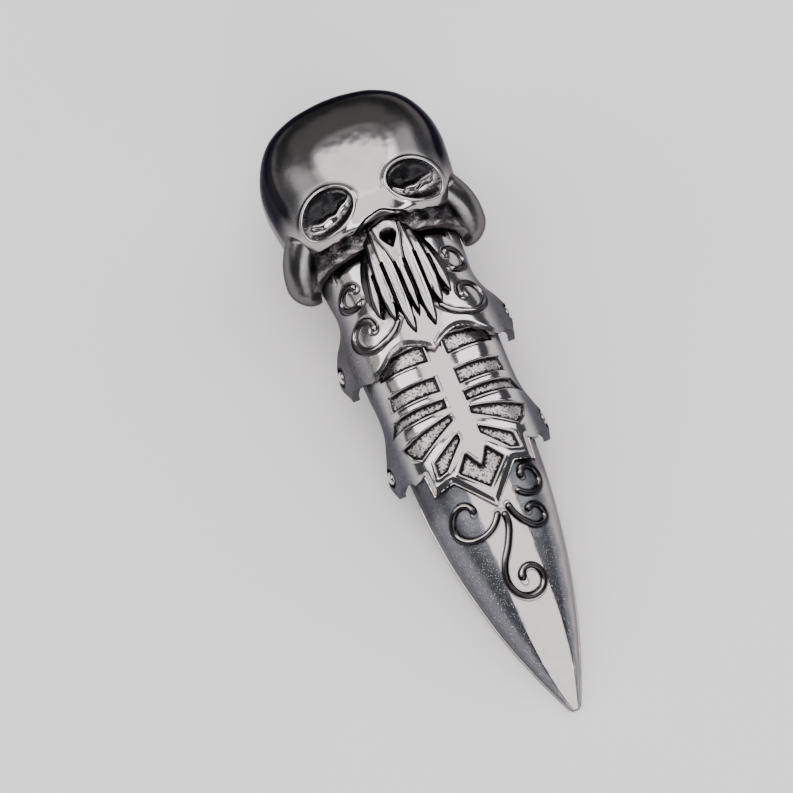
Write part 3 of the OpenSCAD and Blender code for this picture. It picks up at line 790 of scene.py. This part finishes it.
# Middle of the front lobes of the scroll plate, which the openings over them follow
lobe_x, lobe_y, opening_r = 6.4, 8.5, 4.3
opening = [(lobe_x + opening_r * math.cos(math.radians(9 * k)),
            lobe_y + opening_r * math.sin(math.radians(9 * k))) for k in range(40)]
strip_plan = prism([(-25, 12.8), (25, 12.8), (25, 21.8), (-25, 21.8)], "Z")
for side in (-1, 1):
    carve(strip_plan, prism([(side * p, q) for p, q in opening][::side], "Z"))
carve(strip_plan, full_bar(hinge0_y, hinge0_z, cheek_ear_r), "UNION")
carve(strip, strip_plan, "INTERSECT")
ear_side = [(hinge0_y + cheek_ear_r * math.cos(math.radians(10 * k)),
             hinge0_z + cheek_ear_r * math.sin(math.radians(10 * k))) for k in range(18, 37)]
carve(strip, prism(ear_side + [(21.5, 14.5), (21.5, 60), (-60, 60), (-60, 12.5)], "X"),
      "INTERSECT")
carve(strip, tunnel())
carve(strip, hollow)
drill(strip, [(bore_r, 11, 14, hinge0_y, hinge0_z)])
x, y, z = places(strip)
# Painted shade: the strip in the hollows under the eyes is dark and mottled lighter and darker,
# with a painted highlight along its front edge.
mottled_shade = np.sin(1.7 * np.abs(x) + 0.9 * y) * np.sin(1.1 * y - 0.8 * np.abs(x))
tint(strip, soot=0.78 + 0.22 * mottled_shade - 0.4 * ridge(y, 13.2, 0.7),
     grain=0.3 * soft(11.8, 10, np.abs(x)), satin=0.2)


def ring_band(name, y, z, bore, radius, width):
    """Finger band with eased edges and a small flat where it stands."""
    half, thick, ease = width / 2, radius - bore, 0.21

    def place(u, v):
        turn = 2 * math.pi * u
        # The section runs round: inner face, front face, outer face, rear face
        lap = np.clip(v, 0, 1) * 4
        r = np.select([lap < 1, lap < 2, lap < 3],
                      [bore + 0 * lap, bore + thick * (lap - 1), radius + 0 * lap],
                      radius - thick * (lap - 3))
        s = np.select([lap < 1, lap < 2, lap < 3],
                      [half - width * lap, -half + 0 * lap, -half + width * (lap - 2)], half)
        r = r - ease * np.maximum(0, np.abs(s) / half - 0.8) / 0.2 * (r > bore + 0.01)
        return r * np.cos(turn), y + s, z + r * np.sin(turn)
    band = body(name, 160, 40, place)
    carve(band, prism([(-60, 0), (60, 0), (60, 60), (-60, 60)], "X"), "INTERSECT")
    return tint(band, satin=0.25)


base_y, base_z, base_bore = skull_y - 0.2, 11.2, 10
base_band = ring_band("base_band", base_y, base_z, base_bore, 11.6, 5.5)
# Web that stands on the band and carries the dome
web = body("web", 80, 30, dome_place(0.5))
carve(web, prism([(skull_y - 1.2, 14), (skull_y + 0.8, 14), (skull_y + 0.8, 60),
                  (skull_y - 1.2, 60)], "X"), "INTERSECT")
bpy.ops.object.select_all(action="DESELECT")
bpy.ops.mesh.primitive_cylinder_add(
    vertices=96, radius=(base_bore + 0.2) * MM, depth=12 * MM,
    location=(0, (base_y + MIDDLE_Y) * MM, base_z * MM), rotation=(math.pi / 2, 0, 0))
finger = bpy.context.object
bpy.ops.object.transform_apply()
carve(web, finger)
tint(web, satin=0.3)

skull_cap = joined("skull_cap", [
    cap, jaw, cheekbone, other_cheekbone, strip, base_band, web] + eye_rims)
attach(skull_cap, "skull")
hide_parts("skull")


# Scroll plate. It is cast in silver: a scalloped front edge with a ground bevel, two
# raised scrolls on each side that stand in blackened lines, and an ear on each side for
# the rivet. Its rear end is stepped down and slides under the skull.
scroll_rows = [
    [-6, 12.5, 22.8, 11, 0.3], [-3, 12.4, 22.75, 11, 0.8], [0, 12.3, 22.7, 11, 1.6],
    [3, 11.7, 22.6, 11, 1.3], [7, 10.9, 22.4, 11, 0.2], [11, 11.1, 22.1, 11.5, 0],
    [16, 11.3, 21.7, 12, 0], [20, 11, 21.1, 12, 0],
]


def through(points, steps):
    """Smooth path through a few places."""
    spots = []
    for k in range(steps + 1):
        s = min(k / steps, 0.9999) * (len(points) - 1)
        i = int(s)
        t = s - i
        b = np.array(points[i], float)
        c = np.array(points[i + 1], float)
        a = np.array(points[i - 1], float) if i > 0 else 2 * b - c
        d = np.array(points[i + 2], float) if i < len(points) - 2 else 2 * c - b
        spots.append(b + t * ((c - a) / 2 + t * ((a - 2.5 * b + 2 * c - d / 2)
                     + t * ((3 * b - 3 * c + d - a) / 2))))
    return spots


def spiral(middle, first, last, start, end, steps, flat):
    """Path that winds in evenly from its first to its last radius."""
    spots = []
    for k in range(steps + 1):
        t = k / steps
        radius = first * (last / first)**t
        turn = math.radians(start + (end - start) * t)
        way = np.array([flat * math.cos(turn), math.sin(turn)])
        spots.append(np.array(middle) + radius * way)
    return spots


def surface_z(rows, x, y):
    """Height of a plate's surface over a place in plan."""
    base = track(rows, BASE, y)
    share = np.abs(x / track(rows, HALF_W, y))**PLATE_POWER
    full = np.maximum(0.0001, 1 - share)**(1 / PLATE_POWER)
    return base + (track(rows, CREST, y) - base) * full


def scroll_wire(name, path, rows, radius, lift, side=1):
    """Round wire that lies on a plate's surface, drawn to a blunt point at its inner end."""
    path = np.array(path)
    x = side * path[:, 0]
    spots = np.stack([x, path[:, 1], surface_z(rows, x, path[:, 1]) + lift], axis=-1)
    length = np.concatenate([[0], np.cumsum(np.linalg.norm(np.diff(spots, axis=0), axis=1))])
    total = length[-1]

    def spot_at(along):
        return np.stack([np.interp(along, length, spots[:, k]) for k in range(3)], axis=-1)

    def place(u, v):
        along = v * total
        spot = spot_at(along)
        edge, over = square_to(spot_at(np.minimum(along + 0.1, total))
                               - spot_at(np.maximum(along - 0.1, 0)))
        thick = radius * np.sqrt(np.clip((total - along) / (0.9 * radius) + 0.05, 0, 1))
        thick = thick * np.sqrt(np.clip(along / radius + 0.15, 0, 1))
        swell = 1 + 0.25 * ridge(along, total - 1.3 * radius, 1.2 * radius)
        angle = 2 * math.pi * u
        return [spot[..., k] + thick * swell * (np.cos(angle) * edge[..., k]
                + np.sin(angle) * over[..., k]) for k in range(3)]
    return body(name, 14, max(40, int(total / 0.22)), place)


def painted_top_highlight(wire, black, toward=(-0.36, 0.30, 0.88), edge=0.86):
    """Blackened wire with a painted highlight: the side that faces toward is left bright."""
    up = facings(wire) @ np.array(toward)
    return tint(wire, soot=black * (1 - soft(edge, edge + 0.1, up)))


def inside_by(x, y, corners):
    """Distance in plan from the edge of a closed outline, positive inside."""
    near = np.full(np.shape(x), 99.0)
    inside = np.zeros(np.shape(x), bool)
    for (ax, ay), (bx, by) in zip(corners, list(corners[1:]) + [corners[0]]):
        near = np.minimum(near, line_distance(x, y, ax, ay, bx, by))
        if ay != by:
            inside ^= ((ay > y) != (by > y)) & (x < (bx - ax) * (y - ay) / (by - ay) + ax)
    return np.where(inside, near, -near)


scroll_edge = through([[0, -5.4], [2, -4], [4.2, -3.2], [6.2, -3.6], [8.4, -5],
                       [10.6, -5.3], [14, -4.4]], 48)
lower_scroll = through([[3.1, 1], [4.2, -0.3], [5.8, -1.2]], 8) + spiral(
    [8, 1.7], 3.3, 1.25, -105, 215, 80, 0.85)
upper_scroll = spiral([8.1, 8.3], 2.3, 1.25, -125, 165, 60, 0.85)


def scroll_distance(x, y):
    """Distance in plan from the nearest scroll wire."""
    return nearest_path(np.abs(x), y, (lower_scroll[::3], upper_scroll[::3]))


def scroll_step(x, y):
    """How far a place is behind the two lobes, where the plate is stepped down."""
    lobe = np.hypot(np.abs(x) - lobe_x, y - lobe_y) - 3.9
    return np.minimum(np.minimum(y - lobe_y, 9.4 - np.abs(x)), lobe)


def scroll_relief(x, y, z):
    top = soft(11.5, 12.5, z)
    edge = path_distance(np.abs(x), y, scroll_edge)
    bevel = -0.34 * np.clip(1 - edge / 0.75, 0, 1)
    groove = -0.08 * ridge(scroll_distance(x, y), 0.5, 0.14)
    step = -0.5 * soft(0, 0.3, scroll_step(x, y))
    return (bevel + groove + step) * top


scroll = plate_body("scroll", scroll_rows, 0, -6.5, 20, 300, 210, -1, scroll_relief)
carve(scroll, plate_body("inner", scroll_rows, PLATE_THICK, -7, 20.5, 90, 40, -2))
corners = [(p[0], p[1]) for p in scroll_edge] + [(14.5, -4.4), (14.5, 20)]
corners = corners + [(-p, q) for p, q in corners[::-1] if p > 0]
scroll_plan = prism(corners, "Z")
side_view = prism([
    (17.6, 10.2), (3, 7.6), (-1, 7.7), (-3.6, 9), (-3.3, 12.5), (-4.6, 17), (-6.5, 20),
    (-6.5, 30), (19, 30), (18.9, 12.5)], "X")
# The lower edge is hollowed between the two hinges
carve(side_view, full_bar(8.6, 5.6, 7))
carve(side_view, full_bar(hinge0_y, hinge0_z, ear_r), "UNION")
carve(scroll, scroll_plan, "INTERSECT")
carve(scroll, side_view, "INTERSECT")
hinge1_y, hinge1_z = 0, 10.8
drill(scroll, [
    (seat_r, 11.95, 15, hinge1_y, hinge1_z), (bore_r, 9, 15, hinge1_y, hinge1_z),
    (bore_r, 9, 13, hinge0_y, hinge0_z)])
x, y, z = places(scroll)
wires = scroll_distance(x, y)
outer = soft(0.75, 0.55, np.abs(surface_z(scroll_rows, x, y) - z)) * (np.abs(x) < 12)
seat = soft(1.75, 1.35, np.hypot(y - hinge1_y, z - hinge1_z)) * (np.abs(x) > 10.5)
# The lines round the scrolls and the rivet seats are blackened as patina; the stepped-down rear
# under the skull and the plate's sides are painted shade.
tint(scroll,
     soot=0.95 * ridge(wires, 0.46, 0.13) * outer + 0.85 * soft(0, 0.25, scroll_step(x, y)) * outer
     + 0.9 * seat * (np.abs(x) < 13.7) + 0.5 * soft(9.5, 12, np.abs(x)),
     grain=0.25 * outer * soft(9.5, 10.6, np.abs(x)),
     satin=0.7 * soft(8, 10.5, np.abs(x)))
scroll_parts = [scroll]
for side in (-1, 1):
    for name, path in (("lower_scroll", lower_scroll), ("upper_scroll", upper_scroll)):
        wire = scroll_wire(name, path, scroll_rows, 0.42, -0.03, side)
        # Painted highlight along the top of each blackened scroll wire.
        scroll_parts.append(painted_top_highlight(wire, 0.9, (0, 0, 1), 0.76))
scroll_plate = joined("knuckle_plate", scroll_parts)
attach(scroll_plate, "scroll_plate")
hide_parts("scroll_plate")


# Rib plate. It is cast in silver: a smooth spine with ribs, sunk granular pockets with
# black outlines between them, a notched diamond, and a stepped point with a ground
# bevel. The second finger band stands under it.
rib_rows = [
    [-30, 10.2, 15.5, 5, 0], [-24, 10.9, 16.9, 6.1, 0.2], [-20, 11.3, 17.85, 6.8, 0.7],
    [-16.5, 11.3, 18.6, 7.6, 1.4], [-13.5, 11, 19.3, 8.2, 0.8], [-10, 10.7, 20, 9, 0.1],
    [-4, 10.7, 20.95, 10, 0], [0, 10.75, 21.1, 10.8, 0], [4, 10, 20.4, 11, 0],
]
rib_pockets = [
    [(1.5, -3.4), (1.5, -6.2), (8.7, -5.3), (8.7, -3)],
    [(1.5, -8.6), (1.5, -10.9), (8.9, -10.1), (8.6, -7.9)],
    [(1.5, -12.1), (1.5, -13.5), (10.2, -13), (9.1, -11.3)],
    [(1.6, -14.4), (1.4, -15.4), (7.6, -18.4), (8.7, -17.5), (9.6, -15.5)],
    [(1.65, -17.3), (1.5, -18.4), (4.9, -21.7), (6.4, -21.9), (6.2, -19.7)],
]
diamond = [(0, -22.9), (1.6, -20.4), (3.6, -22.7), (0, -26.2), (-3.6, -22.7), (-1.6, -20.4)]
rib_front = [
    (0, -28.9), (4.8, -23.5), (7.9, -23.8), (8.2, -20.6), (14, -20.6), (14, 4),
    (-14, 4), (-14, -20.6), (-8.2, -20.6), (-7.9, -23.8), (-4.8, -23.5),
]


def pocket_depth(x, y):
    """Distance inside the nearest pocket, negative outside."""
    depth = inside_by(x, y, diamond)
    for pocket in rib_pockets:
        depth = np.maximum(depth, inside_by(np.abs(x), y, pocket))
    return depth


def rib_relief(x, y, z):
    top = soft(8.5, 10, z)
    depth = pocket_depth(x, y)
    floor = -0.48 * soft(-0.04, 0.28, depth)
    lip = 0.09 * ridge(depth, -0.2, 0.16)
    edge = np.abs(inside_by(x, y, rib_front))
    bevel = -0.32 * np.clip(1 - edge / 0.7, 0, 1)
    return (floor + lip + bevel) * top


ribs = plate_body("ribs", rib_rows, 0, -30, 4, 300, 230, -1, rib_relief)
carve(ribs, plate_body("inner", rib_rows, PLATE_THICK, -30.5, 4.5, 90, 40, -2))
rib_side = prism([
    (2.9, 30), (2.9, 10.8), (0, 8), (-16.5, 4.6), (-19.4, 5.8), (-19, 9), (-20, 12.5),
    (-31, 12.5), (-31, 30)], "X")
carve(rib_side, full_bar(-8.6, 2, 7.2))
carve(rib_side, full_bar(hinge1_y, hinge1_z, ear_r), "UNION")
carve(ribs, prism(rib_front, "Z"), "INTERSECT")
carve(ribs, rib_side, "INTERSECT")
hinge2_y, hinge2_z = -16.5, 7.6
drill(ribs, [
    (seat_r, 10.9, 14, hinge2_y, hinge2_z), (bore_r, 9, 14, hinge2_y, hinge2_z),
    (bore_r, 9, 13, hinge1_y, hinge1_z)])
x, y, z = places(ribs)
depth = pocket_depth(x, y)
outer = soft(1.0, 0.75, np.abs(surface_z(rib_rows, x, y) - z)) * (np.abs(x) < 10.6)
seat = soft(1.75, 1.35, np.hypot(y - hinge2_y, z - hinge2_z)) * (np.abs(x) > 9.6)
outlines = 0.98 * ridge(depth, 0.15, 0.19) + 0.3 * soft(0.05, 0.2, depth) * soft(0.9, 0.3, depth)
# The pocket outlines, pocket floors and rivet seats are blackened as patina; the rear end under
# the scroll plate and the plate's sides are painted shade.
tint(ribs,
     soot=outlines * outer + 0.9 * seat * (np.abs(x) < 12.5)
     + 0.6 * soft(-3.2, -1.5, y) + 0.4 * soft(9.4, 10.8, np.abs(x)),
     grain=soft(0.18, 0.34, depth) * outer, satin=0.85 * soft(8.6, 10.2, np.abs(x)))
middle_band = ring_band("middle_band", -4.6, 10, 8.9, 10.3, 4)
rib_plate = joined("rib_cage_plate", [ribs, middle_band])
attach(rib_plate, "rib_plate")
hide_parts("rib_plate")


# Talon. It is cast in silver and hollow: a smooth polished face along the middle, satin flanks
# darkened as painted shade, thin bright lower edges, and four round scroll wires that are nearly
# black, with painted highlights on their upper sides.
claw_rows = [
    [-57.7, 0.6, 1.1, 0.3, 0], [-55, 1.8, 2.7, 0.6, 0], [-50, 3.8, 6.1, 1.4, 0],
    [-44, 5.8, 9.3, 2.5, 0], [-38, 7.3, 11.7, 3.5, 0], [-32, 8.5, 13.5, 4.6, 0],
    [-26, 9.3, 15, 5.8, 0], [-20, 9.7, 16.3, 7, 0], [-16.5, 9.85, 16.9, 7.6, 0],
    [-13, 9.8, 16.2, 8, 0],
]
left_scroll = spiral([-4.7, -28.3], 4.8, 1.1, -12, -370, 100, 0.95)
small_scroll = through([[1.4, -28.7], [1.8, -30.2], [2.6, -31.6]], 12) + spiral(
    [4.8, -31], 2, 0.9, -130, 170, 60, 0.95)
side_scroll = spiral([5.8, -25.6], 3.2, 0.9, -150, 200, 80, 0.85)
long_scroll = through(
    [[0.5, -29.6], [0.5, -31.6], [-0.6, -34.1], [-2, -36.2], [-2.6, -37.6]], 28) + spiral(
    [0.6, -39.3], 3.6, 1, 165, 560, 100, 0.95)
claw_paths = [left_scroll, small_scroll, side_scroll, long_scroll]
lower_edge = [(-58.5, 0), (-46, 0.9), (-34, 2), (-24, 3.3), (-17, 4.7)]
# Half width of the flat face along the talon: place along and half width
face_rows = [[-57.7, 0.35], [-55, 1.2], [-50, 2.3], [-44, 2.9], [-30, 3.1], [-13, 3.1]]


def lower_edge_z(y):
    """Height of the talon's lower edge."""
    return np.interp(y, [p[0] for p in lower_edge], [p[1] for p in lower_edge])


def claw_relief(x, y, z):
    """Cuts the round crest down to the flat face."""
    width = track(claw_rows, HALF_W, y)
    height = track(claw_rows, CREST, y) - track(claw_rows, BASE, y)
    share = np.abs(x) / width
    full = np.maximum(0.0001, 1 - share**PLATE_POWER)**(1 / PLATE_POWER)
    face_share = track(face_rows, 1, y) / width
    kept = (1 - face_share**PLATE_POWER)**(1 / PLATE_POWER)
    over = full - kept
    return -height * (over + np.sqrt(over**2 + 0.0004)) / 2 * (z > track(claw_rows, BASE, y))


talon = plate_body("talon", claw_rows, 0, -57.7, -13, 260, 260, -1, claw_relief)
claw_side = prism(
    [(-13.6, 30), (-13.6, 7.6)] + lower_edge[::-1] + [(-58.5, 30)], "X")
carve(claw_side, full_bar(hinge2_y, hinge2_z, ear_r), "UNION")
carve(talon, claw_side, "INTERSECT")
carve(talon, plate_body("inner", claw_rows, PLATE_THICK, -51, -12, 90, 50, -2))
drill(talon, [(bore_r, 8, 12, hinge2_y, hinge2_z)])
x, y, z = places(talon)
width = track(claw_rows, HALF_W, y)
wires = nearest_path(x, y, [path[::3] for path in claw_paths])
outer = soft(1.0, 0.7, np.abs(surface_z(claw_rows, x, y) - z))
low = z - lower_edge_z(y)
# The border of the face is worn, and the right shoulder is left polished and bright as a painted
# highlight.
worn = 0.16 * np.sin(0.9 * y + x) + 0.09 * np.sin(2.6 * y - 2 * x) + 0.03 * np.sin(7.7 * y)
flank_shade = soft(-0.2, 0.25, np.abs(x) - track(face_rows, 1, y) + worn)
shoulder_highlight = soft(0.74, 0.88, x / width + 0.1 * worn)
# The lines round the wires are blackened as patina; the rear end, under the rib plate, is painted
# shade.
tint(talon,
     soot=0.9 * ridge(wires, 0.5, 0.1) * outer + 0.5 * soft(-27, -24, y),
     satin=0.9 * flank_shade * soft(0.3, 0.6, low) * (1 - 0.75 * shoulder_highlight))
claw_parts = [talon]
for name, path in zip(("left_scroll", "small_scroll", "side_scroll", "long_scroll"), claw_paths):
    # Painted highlight on the upper-left side of each blackened wire.
    claw_parts.append(painted_top_highlight(scroll_wire(name, path, claw_rows, 0.5, 0.1), 0.95))
for side in (-1, 1):
    def edge_place(u, v, side=side):
        y = -57.4 + 36 * v
        angle = 2 * math.pi * u
        edge_r = 0.24
        return (side * (track(claw_rows, HALF_W, y) + edge_r * np.cos(angle)), y,
                lower_edge_z(y) + 0.15 + edge_r * np.sin(angle))
    claw_parts.append(tint(body("lower_edge", 14, 90, edge_place), soot=0))
claw = joined("talon", claw_parts)
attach(claw, "claw")
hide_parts("claw")


# Rivets and pins. The plates turn on steel rivets with small domed heads that sit in
# sunk rings; the pins under the cheekbones are plain.
steel_mix = Recipe("rivet_metal")
dirt = steel_mix.node("ShaderNodeAttribute", {"attribute_name": "soot"}, {}, 2)
scratches = steel_mix.noise(0.2 * MM, 3)
steel = steel_mix.finish({
    "Base Color": steel_mix.blend(dirt, (0.62, 0.61, 0.61, 1), (0.012, 0.012, 0.014, 1)),
    "Metallic": 1,
    "Roughness": 0.10 + scratches * 0.12 + dirt * 0.2,
    "Normal": steel_mix.bump(scratches, 0.3, 0.03 * MM),
})


def rivet(name, foot_x, shank_end, dome, y, z, side):
    """Rivet across the finger, turned on the lathe: foot, shank and head."""
    foot_r, foot_thick, shank_r, head_r, head_high = 0.85, 0.3, 0.6, 1.1, 0.8
    profile = [(0, foot_x), (foot_r, foot_x), (foot_r, foot_x + foot_thick),
               (shank_r, foot_x + foot_thick), (shank_r, shank_end)]
    if dome:
        profile += [(head_r * math.cos(math.radians(6 * k)),
                     shank_end + head_high * math.sin(math.radians(6 * k)))
                    for k in range(16)]
    else:
        profile += [(0.52, shank_end), (0, shank_end)]
    radii = np.array([p[0] for p in profile])
    reach = np.array([p[1] for p in profile])
    index = np.arange(len(profile))

    def place(u, v):
        angle = 2 * math.pi * u
        r = np.interp(v * (len(profile) - 1), index, radii)
        out = np.interp(v * (len(profile) - 1), index, reach)
        return side * out, y + r * np.cos(angle), z + r * np.sin(angle)
    piece = body(name, 40, len(profile) - 1, place)
    x, py, pz = places(piece)
    tint(piece, soot=0.6 * soft(0.9, 1.1, np.hypot(py - y, pz - z)))
    return joined(name, [piece], steel)


for side, word in ((-1, "left"), (1, "right")):
    for kind, node, foot_x, shank_end, dome, y, z, carrier in (
            ("cheek_pin", "skull_pin", 9.7, cheek_w + 0.3, False, hinge0_y, hinge0_z, "skull"),
            ("knuckle_rivet", "scroll_rivet", 9.15, 13.1, True, hinge1_y, hinge1_z,
             "scroll_plate"),
            ("talon_rivet", "rib_rivet", 8.3, 11.9, True, hinge2_y, hinge2_z, "rib_plate")):
        piece = rivet(f"{kind}_{word}", foot_x, shank_end, dome, y, z, side)
        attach(piece, carrier)
        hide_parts(f"{node}_{word}")
